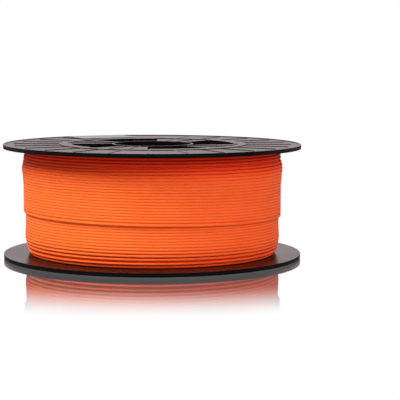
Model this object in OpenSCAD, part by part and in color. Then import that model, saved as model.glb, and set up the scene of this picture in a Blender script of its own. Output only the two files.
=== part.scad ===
// Spool of 1.75 mm printing filament, lying flat: two like flanges snapped on to a barrel, the bore
// through the middle, and the filament wound between the flanges.
// Origin at the middle of the lower flange's outer face, +Z up along the bore. Sizes in millimetres.

/* [Spool] */
// Diameter of the flanges
spool_d = 200; // [190:1:230]
// Width of the spool over both outer faces
spool_w = 76; // [64:1:90]
// Diameter of the bore for the spindle
bore_d = 52; // [40:1:56]
// Wall of the bore tube
bore_wall = 1.5; // [1:0.1:2.5]
// Outside diameter of the barrel, which the first layer is wound on
barrel_d = 119; // [110:0.5:124]
// Wall of the barrel
barrel_wall = 2.2; // [1.6:0.1:3]

/* [Flange] */
// Thickness of a flange at its rings and ribs
flange_t = 2.7; // [2.2:0.1:4]
// Rounding of the two edges of the rim
rim_round = 0.2; // [0.1:0.1:0.8]
// Width of the bead along the rim
rim_bead_w = 1.3; // [1:0.1:3]
// Width of the flat ring outside the hub windows
hub_ring_w = 8; // [6:0.5:12]
// Width of the outer band of that ring, which the recess in the hub webs stops at
hub_band_w = 5; // [3:0.5:5.5]
// Depth of the recess in the outer face, between the hub and the bead
recess = 0.4; // [0.2:0.1:1.1]
// Number of ray ridges in the full circle
ray_count = 24; // [16:8:32]
// Width of a ray ridge at its foot
ray_w = 1.2; // [0.8:0.1:2]
// Width of a ray ridge at its top
ray_top = 0.4; // [0.2:0.1:0.7]
// Distance from the end of a ray ridge to the edge of the flange
ray_end = 6.8; // [4:0.2:12]

/* [Hub] */
// Number of hub windows, with a web as wide as a window after each
window_count = 4; // [3:1:4]
// How far the straight sides of a window lie outside its sector
window_side = 2; // [0:0.2:3]
// Ledge of flange between a window and the spigot behind it
window_ledge = 0.4; // [0.2:0.1:1]
// Thickness of the stiffening walls along the sides of a web
web_wall_t = 1.6; // [1:0.1:2.5]
// Height of a stiffening wall at the bore tube
web_wall_h = 14; // [8:0.5:20]
// Height of a stiffening wall at the spigot
web_wall_end = 4; // [2:0.5:4.5]

/* [Snap fit] */
// Wall of the spigot and of its snap tongues
spigot_wall = 2; // [1.5:0.1:2.4]
// Height of the spigot
spigot_h = 5; // [3:0.5:8]
// Width of a snap tongue
tongue_w = 10; // [6:0.5:14]
// Length of a snap tongue from the flange
tongue_l = 14; // [11:0.5:18]
// Height of the barb on a tongue
barb_h = 0.9; // [0.5:0.1:1.2]
// Length of the barb along the tongue
barb_l = 4; // [3:0.5:5]
// Slit on each side of a tongue
tongue_slit = 1.5; // [1:0.1:2.5]
// Clearance between moulded pieces that fit together
fit_gap = 0.15; // [0.05:0.05:0.3]

/* [Filament] */
// Diameter of the filament
filament_d = 1.75; // [1.6:0.05:1.9]
// Diameter over the last layer
wound_d = 173; // [160:0.5:180]
// Step from the last layer down to the full layer under it
layer_step = 1.7; // [1.5:0.05:1.9]
// Width that the last layer covers, from the upper flange
last_layer_w = 40; // [28:0.5:44]
// Least space between neighbouring turns
turn_gap = 0.45; // [0.42:0.01:0.8]
// Slack turns beside the lower flange
slack_turns = 3; // [1:1:4]
// Extra pitch of a slack turn
slack_pitch = 0.7; // [0:0.1:1]
// How far the slack turns sink at the flange
slack_drop = 1.7; // [0.5:0.1:2.5]
// How far the last layer sinks at the upper flange
edge_drop = 0.8; // [0.2:0.1:1.5]
// Width that this sinking takes
edge_w = 6; // [3:0.5:10]
// Height of the inner end's hole in the barrel above the lower flange
anchor_h = 10; // [8:0.5:20]

/* [Label] */
// Width of the label
label_w = 42; // [30:1:46]
// Height of the label, along the radius
label_h = 29; // [20:1:30]
// Thickness of the label
label_t = 0.2; // [0.1:0.05:0.3]
// Rounding of the label's corners
label_round = 2; // [1:0.5:4]
// Distance from the label to the edge of the flange
label_edge = 4; // [2:0.5:6]
// Direction of the label from the spool's middle, in degrees
label_angle = 118; // [95:1:140]

/* [Hidden] */
$fn = 96;
plastic = [0.11, 0.10, 0.11];
inner_plastic = [0.17, 0.16, 0.17];
filament = [0.95, 0.33, 0.13];
deep_filament = [0.72, 0.20, 0.08];
paper = [0.86, 0.87, 0.90];
over = 1;                                   // how far a cut runs past the face that it opens

rim_r = spool_d / 2;
bore_r = bore_d / 2;
barrel_r = barrel_d / 2;
barrel_in = barrel_r - barrel_wall;
spigot_out = barrel_in - fit_gap;
spigot_in = spigot_out - spigot_wall;
window_in = bore_r + bore_wall;
window_out = spigot_in - window_ledge;
hub_ring_r = window_out + hub_ring_w;
ray_low = 0.05;                             // how far the ridges' tops lie below the bead and the hub ring
ray_margin = 5;                             // least angle between a ridge on a web and the web's side
inner_w = spool_w - 2 * flange_t;           // between the flanges, which is the barrel's length
web_a = 180 / window_count;                 // angle of a window, and of a web

// The slots that catch the tongues run from the barb's catching face to past its tip.
slot_from = tongue_l - barb_l - fit_gap;
slot_to = tongue_l + 2 * fit_gap;

// Pie slice from angle 0 to a, past radius r, of less than a half turn.
module slice_2d(r, a) {
    polygon([[0, 0], [2 * r, 0], 2 * r * [cos(a / 2), sin(a / 2)], 2 * r * [cos(a), sin(a)]]);
}

// Part of a ring wall from radius r0 to r1, from angle a0 to a1 and z0 to z1.
module ring_arc(r0, r1, a0, a1, z0, z1) {
    rotate([0, 0, a0])
        rotate_extrude(angle = a1 - a0)
            translate([r0, z0])
                square([r1 - r0, z1 - z0]);
}

module each_web() {
    for (k = [0 : window_count - 1])
        rotate([0, 0, k * 2 * web_a + web_a])
            children();
}

// Both sides of each web, as something on the web's side of the radius at angle 0.
module each_web_side() {
    each_web() {
        children();
        rotate([0, 0, web_a])
            mirror([0, 1, 0])
                children();
    }
}

// One window, from angle 0 to web_a and window_side past both.
module window_2d() {
    intersection() {
        difference() {
            circle(window_out);
            circle(window_in);
        }
        union() {
            slice_2d(window_out, web_a);
            translate([0, -window_side])
                square([2 * window_out, 2 * window_side]);
            rotate(web_a)
                translate([0, -window_side])
                    square([2 * window_out, 2 * window_side]);
        }
    }
}

// The recess in the outer face of a flange: a ring in the disc, and one part on each hub web.
module recess_2d() {
    difference() {
        circle(rim_r - rim_bead_w);
        circle(hub_ring_r);
    }
    difference() {
        each_web()
            intersection() {
                circle(hub_ring_r - hub_band_w);
                slice_2d(hub_ring_r, web_a);
            }
        circle(window_in);
    }
}

// Ridge with sloping sides along the radius at angle 0, from radius r0 to r1, rooted below the recess.
module ray_ridge(r0, r1) {
    foot = ray_w - ray_top / 2;
    translate([r0, 0, 0])
        rotate([90, 0, 90])
            linear_extrude(r1 - r0)
                polygon([
                    [-foot, -2 * recess + ray_low],
                    [foot, -2 * recess + ray_low],
                    [ray_top / 2, -ray_low],
                    [-ray_top / 2, -ray_low]
                ]);
}

// All the ridges: each runs over the disc, and over a web too if one lies in its way.
module ray_ridges() {
    for (k = [0 : ray_count - 1]) {
        a = k * 360 / ray_count;
        from_web = a % (2 * web_a) - web_a;
        rotate([0, 0, a]) {
            ray_ridge(hub_ring_r - 0.3 * hub_band_w, rim_r - ray_end);
            if (from_web > ray_margin && from_web < web_a - ray_margin)
                ray_ridge(window_in - bore_wall / 2, hub_ring_r - 0.7 * hub_band_w);
        }
    }
}

// Half section of the disc, with its rim rounded by circles at the two edges.
module disc_section_2d() {
    translate([bore_r, -flange_t])
        square([rim_r - rim_round - bore_r, flange_t]);
    translate([rim_r - 2 * rim_round, rim_round - flange_t])
        square([2 * rim_round, flange_t - 2 * rim_round]);
    for (z = [-rim_round, rim_round - flange_t])
        translate([rim_r - rim_round, z])
            circle(rim_round);
}

// Side wall of a web, on the web's side of the radius at angle 0, lower towards the spigot.
module web_wall() {
    rotate([90, 0, 0])
        translate([0, 0, -web_wall_t - window_side])
            linear_extrude(web_wall_t)
                polygon([
                    [bore_r + bore_wall / 2, -0.6 * flange_t],
                    [spigot_in + spigot_wall / 2, -0.6 * flange_t],
                    [spigot_in + spigot_wall / 2, -flange_t - web_wall_end],
                    [bore_r + bore_wall / 2, -flange_t - web_wall_h]
                ]);
}

// One snap tongue about angle 0, with a barb that slopes to the tip.
module tongue() {
    half_a = atan(tongue_w / 2 / spigot_out);
    rotate([0, 0, -half_a])
        rotate_extrude(angle = 2 * half_a)
            polygon([
                [spigot_in, -flange_t / 2],
                [spigot_out, -flange_t / 2],
                [spigot_out, -flange_t - tongue_l + barb_l],
                [spigot_out + barb_h, -flange_t - tongue_l + barb_l],
                [spigot_out + barb_h, -flange_t - tongue_l + 0.7 * barb_l],
                [spigot_out - barb_h / 2, -flange_t - tongue_l],
                [spigot_in, -flange_t - tongue_l]
            ]);
}

// A flange as moulded, with its outer face up at z = 0 and its windows from angle 0 to web_a.
module flange() {
    slit_a = atan((tongue_w / 2 + tongue_slit) / spigot_out);
    difference() {
        union() {
            difference() {
                rotate_extrude()
                    disc_section_2d();
                translate([0, 0, -recess])
                    linear_extrude(recess + over)
                        recess_2d();
            }
            ray_ridges();
            difference() {
                translate([0, 0, -spool_w / 2])
                    cylinder(h = spool_w / 2, r = bore_r + bore_wall);
                translate([0, 0, -spool_w / 2 - over])
                    cylinder(h = spool_w / 2 + 2 * over, r = bore_r);
            }
            for (k = [0 : window_count - 1])
                rotate([0, 0, k * 2 * web_a + 1.5 * web_a]) {
                    tongue();
                    ring_arc(spigot_in, spigot_out, slit_a, 2 * web_a - slit_a,
                             -flange_t - spigot_h, -flange_t / 2);
                }
            each_web_side()
                web_wall();
        }
        for (k = [0 : window_count - 1])
            rotate([0, 0, k * 2 * web_a])
                translate([0, 0, -flange_t - over / 2])
                    linear_extrude(flange_t + over)
                        window_2d();
    }
}

module upper_flange() {
    color(plastic)
        translate([0, 0, spool_w])
            flange();
}

module lower_flange() {
    color(plastic)
        rotate([180, 0, 0])
            flange();
}

// Slots for the tongues of the flange whose inner face is at z = 0, with the barrel below it.
module tongue_slots() {
    half_a = atan((tongue_w / 2 + 2 * fit_gap) / spigot_out);
    for (k = [0 : window_count - 1])
        rotate([0, 0, k * 2 * web_a + 1.5 * web_a])
            ring_arc(barrel_in - over, barrel_r + over, -half_a, half_a, -slot_to, -slot_from);
}

module barrel() {
    color(inner_plastic)
        difference() {
            translate([0, 0, flange_t])
                cylinder(h = inner_w, r = barrel_r);
            translate([0, 0, flange_t - over])
                cylinder(h = inner_w + 2 * over, r = barrel_in);
            translate([0, 0, spool_w - flange_t])
                tongue_slots();
            translate([0, 0, flange_t])
                rotate([180, 0, 0])
                    tongue_slots();
            translate([barrel_in - over, 0, flange_t + anchor_h])
                rotate([0, 90, 0])
                    cylinder(h = barrel_wall + 2 * over, r = filament_d / 2 + 2 * fit_gap);
        }
}

// --- The winding ---
LOOP_RINGS = 24;
TUBE_SIDES = 6;
MAX_LOOPS = 24;
tube_r = filament_d / 2;
core_gap = 0.05;                            // between the core and what it lies against
chord = cos(180 / LOOP_RINGS);              // middle of a chord between two rings, as a share of the radius

wind_low = flange_t + 2 * core_gap;         // lowest and highest place of the wound filament
wind_high = spool_w - wind_low;
step_z = wind_high - last_layer_w;          // where the last layer ends on the layer under it
full_r = wound_d / 2 - layer_step;

// Centre heights of the first and last turn of each layer.
low_from = wind_low + tube_r;
low_to = step_z - tube_r - core_gap;
last_from = step_z + tube_r + core_gap;
last_to = wind_high - tube_r;

// Turns of each layer, at the closest pitch that keeps the least gap.
low_turns = min(MAX_LOOPS,
    floor((low_to - low_from - slack_turns * slack_pitch) / (filament_d + turn_gap)));
low_pitch = (low_to - low_from - slack_turns * slack_pitch) / low_turns;
last_turns = min(MAX_LOOPS, floor((last_to - last_from) / (filament_d + turn_gap)));
last_pitch = (last_to - last_from) / last_turns;
slack_z = low_from + slack_turns * (low_pitch + slack_pitch);
edge_z = last_to - edge_w;

// Height of a layer's centre after u turns: the lower one climbs and the last one comes back down.
function low_height(u) = low_from + low_pitch * u + slack_pitch * min(u, slack_turns);
function last_height(u) = last_to - last_pitch * u;
// Radius over the winding at height z.
function over_r(z) =
    z < slack_z ? full_r - slack_drop * (slack_z - z) / (slack_z - low_from) :
    z < step_z ? full_r :
    z < edge_z ? wound_d / 2 :
    wound_d / 2 - edge_drop * (z - edge_z) / edge_w;

// Ring radius of a strand whose chords lie at the true radius on average, and the core under it.
function strand_r(z) = (over_r(z) - tube_r) * (3 - chord) / 2;
function core_r(z) = strand_r(z) * chord - tube_r - core_gap;

function turn_point(u, z) = [strand_r(z) * sin(-360 * u), strand_r(z) * cos(360 * u), z];
low_path = [for (i = [0 : low_turns * LOOP_RINGS]) turn_point(i / LOOP_RINGS, low_height(i / LOOP_RINGS))];
last_path = [for (i = [0 : last_turns * LOOP_RINGS]) turn_point(i / LOOP_RINGS, last_height(i / LOOP_RINGS))];

function unit(v) = v / norm(v);
// Direction of the path at point i, along the end chord at either end, so that the ends are cut square.
function along(path, i) = unit(path[min(i + 1, len(path) - 1)] - path[max(i - 1, 0)]);
function ring(path, i) =
    let (out = unit([path[i].x, path[i].y, 0]), t = along(path, i))
    let (side = unit(cross(t, out)), up = cross(side, t))
    [for (k = [0 : TUBE_SIDES - 1])
        path[i] + tube_r * (cos(k * 360 / TUBE_SIDES) * up + sin(k * 360 / TUBE_SIDES) * side)];

// Tube of triangles along a path, closed by a fan at each end.
module tube(path) {
    n = TUBE_SIDES;
    last = (len(path) - 1) * n;
    polyhedron(
        points = [for (i = [0 : len(path) - 1]) each ring(path, i)],
        faces = [
            for (i = [0 : len(path) - 2], k = [0 : n - 1])
                let (a = i * n + k, b = i * n + (k + 1) % n)
                each [[a, b, b + n], [a, b + n, a + n]],
            for (k = [1 : n - 2]) [0, k + 1, k],
            for (k = [1 : n - 2]) [last, last + k, last + k + 1]
        ]
    );
}

// Least free space between two stretches of a strand that lie half a turn or more apart along it.
function least_gap(path) = min([
    for (i = [0 : len(path) - 1])
        for (j = [i + LOOP_RINGS / 2 : 1 : len(path) - 1])
            norm(path[i] - path[j])
]) - filament_d;

module filament_core() {
    heights = [low_from, slack_z, step_z - core_gap];
    upper_heights = [step_z, edge_z, last_to];
    color(deep_filament) {
        rotate_extrude()
            polygon([
                [barrel_r + core_gap, wind_low],
                [core_r(low_from), wind_low],
                for (z = heights) [core_r(z), z],
                for (z = upper_heights) [core_r(z), z],
                [core_r(last_to), wind_high],
                [barrel_r + core_gap, wind_high]
            ]);
        // The inner end of the strand, held in the barrel's hole.
        translate([barrel_in - filament_d, 0, flange_t + anchor_h])
            rotate([0, 90, 0])
                cylinder(h = barrel_wall + 2 * filament_d, r = tube_r);
    }
}

module filament_lower_layer() {
    color(filament)
        tube(low_path);
}

module filament_outer_layer() {
    color(filament)
        tube(last_path);
}

module label() {
    color(paper)
        rotate([0, 0, label_angle])
            translate([rim_r - label_edge - label_h / 2, 0, spool_w])
                linear_extrude(label_t) {
                    square([label_h - 2 * label_round, label_w], center = true);
                    square([label_h, label_w - 2 * label_round], center = true);
                    for (x = [-1, 1], y = [-1, 1])
                        translate([x * (label_h / 2 - label_round), y * (label_w / 2 - label_round)])
                            circle(label_round);
                }
}

echo(low_turns = low_turns, least_gap = least_gap(low_path));
echo(last_turns = last_turns, least_gap = least_gap(last_path));

upper_flange();
lower_flange();
barrel();
filament_core();
filament_lower_layer();
filament_outer_layer();
label();
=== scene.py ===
"""Looks of a spool of 1.75 mm printing filament, lying flat: two black flanges, snapped on to a barrel,
with orange filament wound between them."""

import math

import bpy
import numpy as np
from mathutils import Matrix, Vector


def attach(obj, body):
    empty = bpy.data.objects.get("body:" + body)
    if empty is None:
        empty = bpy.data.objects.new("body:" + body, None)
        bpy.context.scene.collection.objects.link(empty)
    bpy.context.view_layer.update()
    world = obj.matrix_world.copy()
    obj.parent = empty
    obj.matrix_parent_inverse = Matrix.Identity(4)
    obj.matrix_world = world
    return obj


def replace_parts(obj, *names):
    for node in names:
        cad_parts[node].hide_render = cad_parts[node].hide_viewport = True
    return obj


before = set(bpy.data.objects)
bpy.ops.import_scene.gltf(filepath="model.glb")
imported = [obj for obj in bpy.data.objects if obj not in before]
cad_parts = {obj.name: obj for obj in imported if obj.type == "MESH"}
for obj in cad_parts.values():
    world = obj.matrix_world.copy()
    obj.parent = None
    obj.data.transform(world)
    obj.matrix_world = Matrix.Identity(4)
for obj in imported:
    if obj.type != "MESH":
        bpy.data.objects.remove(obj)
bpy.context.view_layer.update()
scene = bpy.context.scene
MM = 0.001

# --- Camera ---
# A long lens a metre in front of the spool and a few centimetres above its upper flange. It looks slightly
# down, so that the flange's face shows as a thin ellipse.
CAMERA_PLACE = (0.03011, -1.01448, 0.14141)
CAMERA_TURN = math.radians(-0.1128)
CAMERA_TILT = math.radians(5.834)
CAMERA_ROLL = math.radians(0.194)

camera_data = bpy.data.cameras.new("camera")
camera_data.sensor_width = 36.0
camera_data.lens = 135.67
camera_data.clip_start = 0.05
camera_data.clip_end = 20.0
camera = bpy.data.objects.new("camera", camera_data)
camera.matrix_world = (
    Matrix.Translation(CAMERA_PLACE)
    @ Matrix.Rotation(CAMERA_TURN, 4, "Z")
    @ Matrix.Rotation(math.pi / 2 - CAMERA_TILT, 4, "X")
    @ Matrix.Rotation(CAMERA_ROLL, 4, "Z")
)
scene.collection.objects.link(camera)
scene.camera = camera

# --- Table top ---
# A clear sheet with a white backing, which the spool lies on. The backing mirrors the spool close by, under
# the sheet's own surface, and fades to plain white.
SHEET_HALF = 6.0
CLEAR_DEPTH = 0.1 * MM
BACKING_DEPTH = 0.8 * MM
MIRROR_FROM_R = 0.140  # the mirror starts to fade here, from the spool's middle
MIRROR_TO_R = 0.238
GRAZING_FROM, GRAZING_TO = 0.35, 0.8  # it grows from none to MIRROR_SHARE as the view gets flatter
MIRROR_SHARE = 0.93
MIRROR_SHADE = 0.66
MIRROR_BLUR = 0.05
SOFT_GLOW = 0.56  # the backing's light on the spool: as soft light, and in the plastic's gloss
GLOSS_GLOW = 0.08
WHITE = (1, 1, 1, 1)


def new_material(name):
    """An empty node material, with its nodes, its links and its output node."""
    material = bpy.data.materials.new(name)
    material.use_nodes = True
    nodes, links = material.node_tree.nodes, material.node_tree.links
    nodes.clear()
    return material, nodes, links, nodes.new("ShaderNodeOutputMaterial")


def feed(links, socket, value):
    """Links value to the socket where it is a socket itself, and sets it there otherwise."""
    if isinstance(value, bpy.types.NodeSocket):
        links.new(value, socket)
    else:
        socket.default_value = value


def math_node(nodes, links, operation, first, second, clamp=False):
    """A Math node on two sockets or numbers."""
    made = nodes.new("ShaderNodeMath")
    made.operation = operation
    made.use_clamp = clamp
    feed(links, made.inputs[0], first)
    feed(links, made.inputs[1], second)
    return made.outputs[0]


def ramp_node(nodes, links, value, low, high, to_low, to_high):
    """A smooth step from to_low at low to to_high at high."""
    made = nodes.new("ShaderNodeMapRange")
    made.interpolation_type = "SMOOTHSTEP"
    links.new(value, made.inputs["Value"])
    for name, number in (("From Min", low), ("From Max", high), ("To Min", to_low), ("To Max", to_high)):
        made.inputs[name].default_value = number
    return made.outputs["Result"]


def shader_mix(nodes, links, share, first, second):
    """Mixes two shaders: only the second one shows where share is 1."""
    made = nodes.new("ShaderNodeMixShader")
    for value, socket in zip((share, first, second), made.inputs):
        links.new(value, socket)
    return made.outputs[0]


def white_glow(nodes, strength):
    made = nodes.new("ShaderNodeEmission")
    made.inputs["Color"].default_value = WHITE
    made.inputs["Strength"].default_value = strength
    return made.outputs[0]


def glossy_sheet():
    material, nodes, links, output = new_material("glossy_white_sheet")
    flat = nodes.new("ShaderNodeVectorMath")
    flat.operation = "MULTIPLY"
    flat.inputs[1].default_value = (1, 1, 0)
    links.new(nodes.new("ShaderNodeTexCoord").outputs["Object"], flat.inputs[0])
    length = nodes.new("ShaderNodeVectorMath")
    length.operation = "LENGTH"
    links.new(flat.outputs[0], length.inputs[0])
    near = ramp_node(nodes, links, length.outputs["Value"], MIRROR_FROM_R, MIRROR_TO_R, 1.0, 0.0)
    weight = nodes.new("ShaderNodeLayerWeight")
    weight.inputs["Blend"].default_value = 0.5
    facing = weight.outputs["Facing"]
    grazing = ramp_node(nodes, links, facing, GRAZING_FROM, GRAZING_TO, 0.0, MIRROR_SHARE)
    share = math_node(nodes, links, "MULTIPLY", grazing, near)
    mirror = nodes.new("ShaderNodeBsdfGlossy")
    mirror.inputs["Color"].default_value = (MIRROR_SHADE, MIRROR_SHADE, MIRROR_SHADE, 1)
    mirror.inputs["Roughness"].default_value = MIRROR_BLUR
    seen = shader_mix(nodes, links, share, white_glow(nodes, 1.0), mirror.outputs[0])

    path = nodes.new("ShaderNodeLightPath").outputs
    given = shader_mix(
        nodes, links, path["Is Glossy Ray"], white_glow(nodes, SOFT_GLOW), white_glow(nodes, GLOSS_GLOW)
    )
    links.new(shader_mix(nodes, links, path["Is Camera Ray"], given, seen), output.inputs["Surface"])
    return material


def clear_sheet():
    material, nodes, links, output = new_material("clear_sheet")
    links.new(nodes.new("ShaderNodeBsdfTransparent").outputs[0], output.inputs["Surface"])
    return material


for name, depth, material in (
    ("clear_sheet", CLEAR_DEPTH, clear_sheet()),
    ("white_backing", BACKING_DEPTH, glossy_sheet()),
):
    mesh = bpy.data.meshes.new(name)
    corners = [(x * SHEET_HALF, y * SHEET_HALF, 0) for x, y in ((-1, -1), (1, -1), (1, 1), (-1, 1))]
    mesh.from_pydata(corners, [], [(0, 1, 2, 3)])
    mesh.materials.append(material)
    sheet = bpy.data.objects.new(name, mesh)
    sheet.location.z = -depth
    scene.collection.objects.link(sheet)

# --- Studio light ---
# White surroundings: even for soft light, and for gloss white behind the spool and dark in front of it.
# Three large soft lamps: the strongest high on the left, a weak one overhead, a reddish one on the right.
GLOSS_TINT = (1, 0.86, 0.87, 1)
SOFT_SURROUNDINGS = 0.3
FRONT_LEVEL = 0.03
WALL_LEVEL = 0.86
ABOVE_WALL = 0.12  # share of the wall's light that is left above it
OVERHEAD_LEVEL = 0.9
LAMP_AIM = Vector((0, 0, 0.04))

scene.view_settings.view_transform = "Standard"
scene.view_settings.look = "None"
world = bpy.data.worlds.new("studio")
scene.world = world
world.use_nodes = True
world_nodes, world_links = world.node_tree.nodes, world.node_tree.links
world_nodes.clear()
direction = world_nodes.new("ShaderNodeSeparateXYZ")
world_links.new(world_nodes.new("ShaderNodeTexCoord").outputs["Generated"], direction.inputs[0])
path = world_nodes.new("ShaderNodeLightPath").outputs


def surroundings(strength, colour=WHITE):
    """A background shader; strength is a number or a socket."""
    made = world_nodes.new("ShaderNodeBackground")
    made.inputs["Color"].default_value = colour
    feed(world_links, made.inputs["Strength"], strength)
    return made.outputs[0]


wall_behind = ramp_node(
    world_nodes, world_links, direction.outputs["Y"], -0.1, 0.5, FRONT_LEVEL, WALL_LEVEL
)
below_ceiling = ramp_node(world_nodes, world_links, direction.outputs["Z"], 0.25, 0.7, 1.0, ABOVE_WALL)
overhead = ramp_node(world_nodes, world_links, direction.outputs["Z"], 0.72, 0.93, 0.0, OVERHEAD_LEVEL)
round_about = math_node(world_nodes, world_links, "MULTIPLY", wall_behind, below_ceiling)
in_satin = surroundings(math_node(world_nodes, world_links, "MAXIMUM", round_about, overhead), GLOSS_TINT)
# Seen in the backing, through the clear sheet, the surroundings are as bright as the plain white round it.
through_sheet = math_node(world_nodes, world_links, "GREATER_THAN", path["Transparent Depth"], 0.5)
first_mirror = math_node(world_nodes, world_links, "LESS_THAN", path["Glossy Depth"], 1.5)
in_backing = math_node(world_nodes, world_links, "MULTIPLY", through_sheet, first_mirror)
in_gloss = shader_mix(world_nodes, world_links, in_backing, in_satin, surroundings(1 / MIRROR_SHADE))
in_soft = surroundings(SOFT_SURROUNDINGS)
lit = shader_mix(world_nodes, world_links, path["Is Glossy Ray"], in_soft, in_gloss)
seen_world = shader_mix(world_nodes, world_links, path["Is Camera Ray"], lit, surroundings(1.0))
world_links.new(seen_world, world_nodes.new("ShaderNodeOutputWorld").inputs["Surface"])

# Square lamps that face the spool and don't show in its gloss: place, side, power and colour.
for name, place, side, power, colour in (
    ("lamp_left", (-1.1, -0.66, 1.42), 0.9, 52, (0.84, 1, 0.88)),
    ("lamp_above", (0.1, -0.5, 1.5), 1.0, 4, (1, 1, 1)),
    ("lamp_right", (0.85, -1.15, 0.8), 0.9, 15.2, (1, 0.72, 0.75)),
):
    lamp_data = bpy.data.lights.new(name, "AREA")
    lamp_data.shape = "SQUARE"
    lamp_data.size = side
    lamp_data.energy = power
    lamp_data.color = colour
    lamp = bpy.data.objects.new(name, lamp_data)
    lamp.location = place
    lamp.visible_glossy = False
    lamp.rotation_euler = (LAMP_AIM - Vector(place)).to_track_quat("-Z", "Y").to_euler()
    scene.collection.objects.link(lamp)

# --- Flanges and barrel ---
# Two like discs and the tube between them, injection-moulded in black plastic with a satin finish. The
# flanges' barbed tongues snap into slots of the barrel, so nothing else holds the spool together.
PLASTIC_COLOUR = (0.0035, 0.0028, 0.0032, 1)
SCUFF_COLOUR = (0.012, 0.011, 0.0115, 1)
EDGE_ROUNDING = 0.1 * MM


def grain_group():
    """Fine grain and slow patches of gloss, which the plastic, the filament and the label all show."""
    group = bpy.data.node_groups.new("surface_grain", "ShaderNodeTree")
    sockets = group.interface
    sockets.new_socket(name="Vector", in_out="INPUT", socket_type="NodeSocketVector")
    for name in ("Grain Scale", "Patch Scale", "Roughness", "Spread"):
        sockets.new_socket(name=name, in_out="INPUT", socket_type="NodeSocketFloat")
    for name in ("Roughness", "Height", "Patch"):
        sockets.new_socket(name=name, in_out="OUTPUT", socket_type="NodeSocketFloat")
    nodes, links = group.nodes, group.links
    given, out = nodes.new("NodeGroupInput").outputs, nodes.new("NodeGroupOutput")
    noises = []
    for scale, detail in (("Grain Scale", 2.0), ("Patch Scale", 3.0)):
        noise = nodes.new("ShaderNodeTexNoise")
        noise.inputs["Detail"].default_value = detail
        links.new(given["Vector"], noise.inputs["Vector"])
        links.new(given[scale], noise.inputs["Scale"])
        noises.append(noise.outputs["Fac"])
    grain, patch = noises
    level = math_node(nodes, links, "SUBTRACT", patch, 0.5)
    swing = math_node(nodes, links, "MULTIPLY", level, given["Spread"])
    rough = math_node(nodes, links, "ADD", given["Roughness"], swing, clamp=True)
    for name, value in (("Roughness", rough), ("Height", grain), ("Patch", patch)):
        links.new(value, out.inputs[name])
    return group


surface_grain = grain_group()


def place_grain(nodes, links, vector, grain_scale, patch_scale, roughness, spread):
    """Places the grain group with its own values, and returns its outputs."""
    made = nodes.new("ShaderNodeGroup")
    made.node_tree = surface_grain
    links.new(vector, made.inputs["Vector"])
    made.inputs["Grain Scale"].default_value = grain_scale
    made.inputs["Patch Scale"].default_value = patch_scale
    made.inputs["Roughness"].default_value = roughness
    made.inputs["Spread"].default_value = spread
    return made.outputs


def bump_node(nodes, links, height, distance, strength=1.0, normal=None):
    made = nodes.new("ShaderNodeBump")
    made.inputs["Distance"].default_value = distance
    made.inputs["Strength"].default_value = strength
    links.new(height, made.inputs["Height"])
    if normal is not None:
        links.new(normal, made.inputs["Normal"])
    return made.outputs["Normal"]


def colour_mix(nodes, links, share, first, second):
    """Mixes two colours, or colour sockets, by share."""
    made = nodes.new("ShaderNodeMix")
    made.data_type = "RGBA"
    links.new(share, made.inputs["Factor"])
    feed(links, made.inputs[6], first)
    feed(links, made.inputs[7], second)
    return made.outputs[2]


def moulded_plastic():
    material, nodes, links, output = new_material("black_moulded_plastic")
    place = nodes.new("ShaderNodeTexCoord").outputs["Object"]
    grain = place_grain(
        nodes, links, place, grain_scale=2200.0, patch_scale=28.0, roughness=0.26, spread=0.08
    )
    edge = nodes.new("ShaderNodeBevel")
    edge.samples = 4
    edge.inputs["Radius"].default_value = EDGE_ROUNDING
    # Rubbed edges are a little greyer: where the rounded normal leaves the face's own.
    turned = nodes.new("ShaderNodeVectorMath")
    turned.operation = "DOT_PRODUCT"
    links.new(edge.outputs["Normal"], turned.inputs[0])
    links.new(nodes.new("ShaderNodeNewGeometry").outputs["Normal"], turned.inputs[1])
    rubbed = ramp_node(nodes, links, turned.outputs["Value"], 0.75, 0.98, 0.6, 0.0)
    worn = math_node(nodes, links, "MULTIPLY", rubbed, grain["Patch"])
    bump = bump_node(
        nodes, links, grain["Height"], distance=0.006 * MM, strength=0.5, normal=edge.outputs["Normal"]
    )
    shader = nodes.new("ShaderNodeBsdfPrincipled")
    links.new(colour_mix(nodes, links, worn, PLASTIC_COLOUR, SCUFF_COLOUR), shader.inputs["Base Color"])
    links.new(grain["Roughness"], shader.inputs["Roughness"])
    links.new(bump, shader.inputs["Normal"])
    shader.inputs["IOR"].default_value = 1.5
    shader.inputs["Specular IOR Level"].default_value = 0.3
    shader.inputs["Specular Tint"].default_value = (1.0, 0.90, 0.91, 1)
    links.new(shader.outputs[0], output.inputs["Surface"])
    return material


def dress(node_name, material):
    """Gives a carried-over CAD node its material in every slot."""
    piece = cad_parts[node_name]
    for spot in piece.material_slots:
        spot.material = material
    return piece


black_plastic = moulded_plastic()
for node_name in ("upper_flange", "lower_flange", "barrel"):
    dress(node_name, black_plastic)

# --- Inner layers of filament ---
# The turns of orange filament under the last ones, wound in rows on the barrel. Only the outside of this
# piece has the rows' form: inside it is one ring, as nothing of it shows.
STRAND_R = 1.35 * MM  # fuller than 1.75 mm filament, as turns press together
PITCH_MM = 1.82
ROW_PITCH = PITCH_MM * MM
ROW_ARC = 1.25  # radians to each side of a turn's outermost point
ROW_POINTS = 6
BARREL_R = 59.5 * MM
BARREL_GAP = 0.05 * MM
LOW_Z, HIGH_Z = 2.8 * MM, 73.2 * MM
INNER_SPOKES = 144
# Outside radius of the inner layers at some heights: lower beside the flanges, as the layers over them are.
INNER_Z = np.array([2.8, 12.0, 33.0, 36.0, 50.0, 57.0, 61.0, 64.0, 68.0, 73.2]) * MM
INNER_R = np.array([82.6, 83.6, 83.4, 84.8, 84.8, 85.3, 85.7, 84.9, 84.5, 83.5]) * MM

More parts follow.
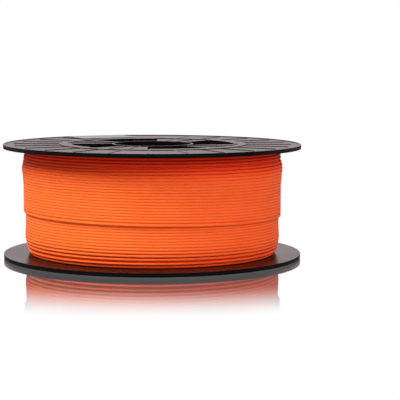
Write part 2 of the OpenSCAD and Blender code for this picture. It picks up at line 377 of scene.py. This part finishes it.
FILAMENT_COLOUR = (0.92, 0.145, 0.026, 1)
PALE_FILAMENT = (0.93, 0.153, 0.029, 1)
# Painted shade: a deeper red base colour painted in where shade falls, under the upper flange, above the
# lower one and in the gaps between turns. Below are that colour, the heights over which it fades in, and its
# shares.
PAINTED_SHADE_COLOUR = (0.93, 0.032, 0.006, 1)
UPPER_SHADE_FROM, UPPER_SHADE_TO = 52 * MM, 72 * MM
LOWER_SHADE_FROM, LOWER_SHADE_TO = 3 * MM, 12 * MM
LOWER_SHADE = 0.4
GAP_SHADE_SHARE = 0.45
FINE_GRAIN = 0.35  # the grain's share in the relief, beside the lines from the die
# The strand attribute holds the way along a strand, times WAY_MARK, and the side of it, from -SIDE_MARK to
# SIDE_MARK: first from inside to outside, then from below to above.
WAY_MARK = 12.0
SIDE_MARK = 5.0


def orange_filament():
    material, nodes, links, output = new_material("orange_filament")
    place = nodes.new("ShaderNodeTexCoord").outputs["Object"]
    grain = place_grain(
        nodes, links, place, grain_scale=1500.0, patch_scale=60.0, roughness=0.55, spread=0.05
    )
    # Faint lines from the die run along the strand.
    strand = nodes.new("ShaderNodeAttribute")
    strand.attribute_name = "strand"
    lines = nodes.new("ShaderNodeTexNoise")
    lines.inputs["Scale"].default_value = 1.0
    lines.inputs["Detail"].default_value = 2.0
    links.new(strand.outputs["Vector"], lines.inputs["Vector"])
    tint = ramp_node(nodes, links, grain["Patch"], 0.3, 0.7, 0.0, 1.0)
    tinted = colour_mix(nodes, links, tint, FILAMENT_COLOUR, PALE_FILAMENT)
    # Painted shade: beside the flanges and between turns the light comes only by way of other turns, so the
    # base colour is painted a deeper red there.
    height = nodes.new("ShaderNodeSeparateXYZ")
    links.new(place, height.inputs[0])
    upper = ramp_node(nodes, links, height.outputs["Z"], UPPER_SHADE_FROM, UPPER_SHADE_TO, 0.0, 1.0)
    lower = ramp_node(nodes, links, height.outputs["Z"], LOWER_SHADE_FROM, LOWER_SHADE_TO, LOWER_SHADE, 0.0)
    outward = nodes.new("ShaderNodeSeparateXYZ")
    links.new(strand.outputs["Vector"], outward.inputs[0])
    side = outward.outputs["Y"]
    # Painted shade on the strand's sides, in the gaps between turns.
    painted_gap_shade = ramp_node(nodes, links, side, 0.66 * SIDE_MARK, 0.96 * SIDE_MARK, GAP_SHADE_SHARE, 0.0)
    painted_flange_shade = math_node(nodes, links, "MAXIMUM", upper, lower)
    painted_shade = math_node(nodes, links, "MAXIMUM", painted_flange_shade, painted_gap_shade)
    fine = math_node(nodes, links, "MULTIPLY", grain["Height"], FINE_GRAIN)
    relief = math_node(nodes, links, "ADD", fine, lines.outputs["Fac"])
    shader = nodes.new("ShaderNodeBsdfPrincipled")
    links.new(colour_mix(nodes, links, painted_shade, tinted, PAINTED_SHADE_COLOUR), shader.inputs["Base Color"])
    links.new(grain["Roughness"], shader.inputs["Roughness"])
    links.new(bump_node(nodes, links, relief, distance=0.002 * MM), shader.inputs["Normal"])
    shader.inputs["IOR"].default_value = 1.46
    shader.inputs["Specular IOR Level"].default_value = 0.15
    links.new(shader.outputs[0], output.inputs["Surface"])
    return material


filament = orange_filament()


def smooth_mesh(name, points, faces):
    mesh = bpy.data.meshes.new(name)
    mesh.from_pydata([tuple(p) for p in points], [], [tuple(f) for f in faces])
    mesh.polygons.foreach_set("use_smooth", [True] * len(mesh.polygons))
    mesh.update()
    return mesh


def add_filament(name, data):
    """A piece of filament from a mesh or a curve, on the spool's one body."""
    data.materials.append(filament)
    piece = bpy.data.objects.new(name, data)
    scene.collection.objects.link(piece)
    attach(piece, "root")
    return piece


def inner_section():
    """Half section, as (radius, height) points: rows of turns outside, plain where they lie on the barrel."""
    rows = int((HIGH_Z - LOW_Z) / ROW_PITCH)
    pitch = (HIGH_Z - LOW_Z) / rows
    section = [(BARREL_R + BARREL_GAP, LOW_Z)]
    for row in range(rows):
        middle = LOW_Z + (row + 0.5) * pitch
        for turn in np.linspace(-ROW_ARC, ROW_ARC, ROW_POINTS):
            z = middle + 0.5 * pitch * math.sin(turn) / math.sin(ROW_ARC)
            outside = float(np.interp(z, INNER_Z, INNER_R))
            section.append((outside - STRAND_R * (1 - math.cos(turn)), z))
    section.append((BARREL_R + BARREL_GAP, HIGH_Z))
    return section


section = inner_section()
count = len(section)
points, faces = [], []
for s in range(INNER_SPOKES):
    spoke = 2 * math.pi * s / INNER_SPOKES
    points += [(r * math.cos(spoke), r * math.sin(spoke), z) for r, z in section]
    here, there = s * count, (s + 1) % INNER_SPOKES * count
    faces += [(here + i, there + i, there + (i + 1) % count, here + (i + 1) % count) for i in range(count)]
inner_layers = add_filament("filament_inner_layers", smooth_mesh("filament_inner_layers", points, faces))
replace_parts(inner_layers, "filament_core")

# --- Wound strand ---
# One strand of orange filament, wound under tension up the spool in a full layer and back down over it in
# the last layer, which ends a little past half way. Only that tension and the flanges hold the turns.
RINGS = 144  # rings of points in a turn
SIDES = 12
AROUND = 2 * np.pi * np.arange(SIDES) / SIDES  # the points of a ring, as angles round the strand
# The turns lie a little tilted: how far they rise on the left side and on the front side, by height.
TILT_Z = np.array([4.2, 7.0, 10.0, 12.0, 14.0, 18.0, 42.0, 50.0, 60.0, 73.5]) * MM
RISE_LEFT = np.array([0.45, 0.8, 0.8, 1.0, 1.05, 1.09, 1.09, 0.56, 0.0, 0.0]) * MM
RISE_FRONT = np.array([0.22, 0.08, 0.15, 0.25, 0.3, 0.4, 0.4, 0.7, 0.0, 0.0]) * MM
# Outside radius of the two layers by height. The last one bulges where turns have crossed under it.
FULL_Z = np.array([4.0, 9.0, 12.0, 16.0, 19.0, 24.0, 40.0]) * MM
FULL_R = np.array([84.1, 85.1, 85.7, 85.7, 85.45, 85.3, 85.25]) * MM
LAST_Z = np.array(
    [28.0, 49.0, 51.5, 54.3, 57.0, 58.3, 60.3, 61.3, 62.4, 63.7, 65.1, 66.4, 68.0, 73.2]
) * MM
LAST_R = np.array(
    [86.7, 86.7, 87.0, 87.15, 87.45, 87.7, 87.8, 87.75, 87.3, 86.95, 86.9, 86.65, 86.5, 85.7]
) * MM
# Radius of the strand by height, as a share of STRAND_R: the slack turns at the bottom and those near the
# top aren't pressed on each other.
GIRTH_Z = np.array([7.0, 15.0, 57.0, 62.0, 72.3]) * MM
GIRTH = np.array([0.66, 1.0, 1.0, 0.74, 0.72])
TUCK_TURN = 0.16  # part of a turn in which a layer's start comes up from under its neighbours

# The last layer. A value whose name ends in MM is in millimetres.
LAST_TURNS = 23
LAST_FROM_MM = 72.3
LEVEL_TURN = 0.2  # part of a turn that lies level along the flange
UPPER_TURNS = 12
UPPER_PITCH_MM = 1.92
LAST_TUCK = 1.7 * MM
END_DROP = 0.4 * MM  # the last turn lies this much lower, from END_DROP_FROM on
END_DROP_FROM, END_DROP_TURNS = 21.8, 0.4
SUNK_TURN = 3
SINK = 1.35 * MM
# The turns beside the sunk one, each with its rise in millimetres. Like it, they leave their rows just
# before the front, which is at half of a turn, and are back in them at the turn's end.
SHIFTED_TURNS = ((2, -0.05), (4, 0.9), (5, 0.75), (6, 0.45), (7, 0.2))
LEAVE_FROM, LEAVE_PART, RETURN_PART = 0.40, 0.12, 0.14

# The full layer under it, whose first turns are slack.
FULL_TURNS = 17
FULL_FROM = 4.2 * MM
SLACK_PITCH_MM = 1.4  # on top of PITCH_MM at the start, and fading over SLACK_TURNS
SLACK_TURNS = 1.9
SLACK_FADE = 1.3
FULL_TUCK = 1.2 * MM


def soften(x):
    """A smooth step from 0 to 1."""
    x = np.clip(x, 0, 1)
    return x * x * (3 - 2 * x)


def tilt(z, angle):
    """Rise of the turns at height z and at this angle round the spool."""
    return -np.interp(z, TILT_Z, RISE_LEFT) * np.cos(angle) - np.interp(z, TILT_Z, RISE_FRONT) * np.sin(angle)


def spiral(turns):
    """Turns made so far at each ring of a strand, and its angle. A layer starts at the back."""
    turn = np.arange(turns * RINGS + 1) / RINGS
    return turn, np.pi / 2 + 2 * np.pi * turn


def strand_points(angle, radius, height):
    """Rings of points round a strand whose centre line has these angles, radii and heights."""
    girth = STRAND_R * np.interp(height, GIRTH_Z, GIRTH)[:, None]
    r = radius[:, None] + girth * np.cos(AROUND)
    z = height[:, None] + girth * np.sin(AROUND)
    return np.stack([r * np.cos(angle)[:, None], r * np.sin(angle)[:, None], z], -1).reshape(-1, 3)


def add_strand(name, angle, radius, height):
    """A tube along the strand, closed at both ends, with its strand attribute."""
    n = len(angle)
    points = strand_points(angle, radius, height)
    ring, side = np.meshgrid(np.arange(n - 1), np.arange(SIDES), indexing="ij")
    this, after = ring * SIDES, (ring + 1) * SIDES
    beside = (side + 1) % SIDES
    quads = np.stack([this + side, after + side, after + beside, this + beside], -1).reshape(-1, 4).tolist()
    ends = [list(range(SIDES)), [(n - 1) * SIDES + k for k in reversed(range(SIDES))]]
    mesh = smooth_mesh(name, points, quads + ends)
    way = np.concatenate([[0], np.cumsum(np.abs(np.diff(angle)) * radius[1:])])
    marks = np.zeros((n, SIDES, 3), np.float32)
    marks[..., 0] = way[:, None] * WAY_MARK
    marks[..., 1] = np.cos(AROUND) * SIDE_MARK
    marks[..., 2] = np.sin(AROUND) * SIDE_MARK
    mesh.attributes.new("strand", "FLOAT_VECTOR", "POINT").data.foreach_set("vector", marks.ravel())
    return add_filament(name, mesh)


def last_layer():
    """From the upper flange down past half way. One turn near the top has sunk between its neighbours."""
    turn, angle = spiral(LAST_TURNS)
    upper = UPPER_PITCH_MM * np.maximum(0, np.minimum(turn, UPPER_TURNS) - LEVEL_TURN)
    height = (LAST_FROM_MM - upper - PITCH_MM * np.maximum(0, turn - UPPER_TURNS)) * MM
    height -= END_DROP * soften((turn - END_DROP_FROM) / END_DROP_TURNS)
    radius = np.interp(height, LAST_Z, LAST_R) - STRAND_R * np.interp(height, GIRTH_Z, GIRTH)
    height = height + tilt(height, angle)
    which = np.floor(turn).astype(int)
    part = turn - which
    moved = soften((part - LEAVE_FROM) / LEAVE_PART) * soften((1 - part) / RETURN_PART)
    for index, rise in SHIFTED_TURNS:
        height += np.where(which == index, moved * rise * MM, 0)
    radius -= np.where(which == SUNK_TURN, moved * SINK, 0)
    radius -= LAST_TUCK * (1 - soften(turn / TUCK_TURN))
    return angle, radius, height


def full_layer():
    """From the lower flange up, and on under the last layer. The first turns are slack and have sunk."""
    turn, angle = spiral(FULL_TURNS)
    pitch = (PITCH_MM + SLACK_PITCH_MM * np.exp(-((turn / SLACK_TURNS) ** SLACK_FADE))) * MM
    height = FULL_FROM + np.concatenate([[0], np.cumsum((pitch[1:] + pitch[:-1]) / 2 / RINGS)])
    radius = np.interp(height, FULL_Z, FULL_R) - STRAND_R
    height = height + tilt(height, angle)
    radius -= FULL_TUCK * (1 - soften(turn / TUCK_TURN))
    return angle, radius, height


for name, layer, node_name in (
    ("filament_last_layer", last_layer, "filament_outer_layer"),
    ("filament_full_layer", full_layer, "filament_lower_layer"),
):
    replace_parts(add_strand(name, *layer()), node_name)

# --- Strand's inner end ---
# The start of the same strand. It lies inside the barrel, bent over by hand so that it can't slip out, and
# goes through a small hole of the barrel to the first layer.
END_R = 0.88 * MM
END_PATH_MM = (
    (56.1, -2.6, 12.5), (55.8, -1.4, 12.6), (56.1, -0.5, 12.7),
    (57.0, 0, 12.7), (58.6, 0, 12.7), (60.8, 0, 12.7),
)

end_curve = bpy.data.curves.new("filament_inner_end", "CURVE")
end_curve.dimensions = "3D"
end_curve.bevel_depth = END_R
end_curve.bevel_resolution = 3
end_curve.use_fill_caps = True
line = end_curve.splines.new("BEZIER")
line.bezier_points.add(len(END_PATH_MM) - 1)
for spot, (x, y, z) in zip(line.bezier_points, END_PATH_MM):
    spot.co = (x * MM, y * MM, z * MM)
    spot.handle_left_type = spot.handle_right_type = "AUTO"
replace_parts(add_filament("filament_inner_end", end_curve), "filament_core")

# --- Label ---
# A blank paper label with rounded corners and a matt face. It is self-adhesive, and stuck on the outer face
# of the upper flange.
LABEL_COLOUR = (0.245, 0.23, 0.268, 1)
LABEL_PALE = (0.29, 0.27, 0.315, 1)


def label_paper():
    material, nodes, links, output = new_material("label_paper")
    place = nodes.new("ShaderNodeTexCoord").outputs["Object"]
    grain = place_grain(
        nodes, links, place, grain_scale=3500.0, patch_scale=90.0, roughness=0.6, spread=0.1
    )
    bump = bump_node(nodes, links, grain["Height"], distance=0.01 * MM, strength=0.5)
    shader = nodes.new("ShaderNodeBsdfPrincipled")
    links.new(colour_mix(nodes, links, grain["Patch"], LABEL_COLOUR, LABEL_PALE), shader.inputs["Base Color"])
    links.new(grain["Roughness"], shader.inputs["Roughness"])
    links.new(bump, shader.inputs["Normal"])
    shader.inputs["Specular IOR Level"].default_value = 0.35
    links.new(shader.outputs[0], output.inputs["Surface"])
    return material


dress("label", label_paper())
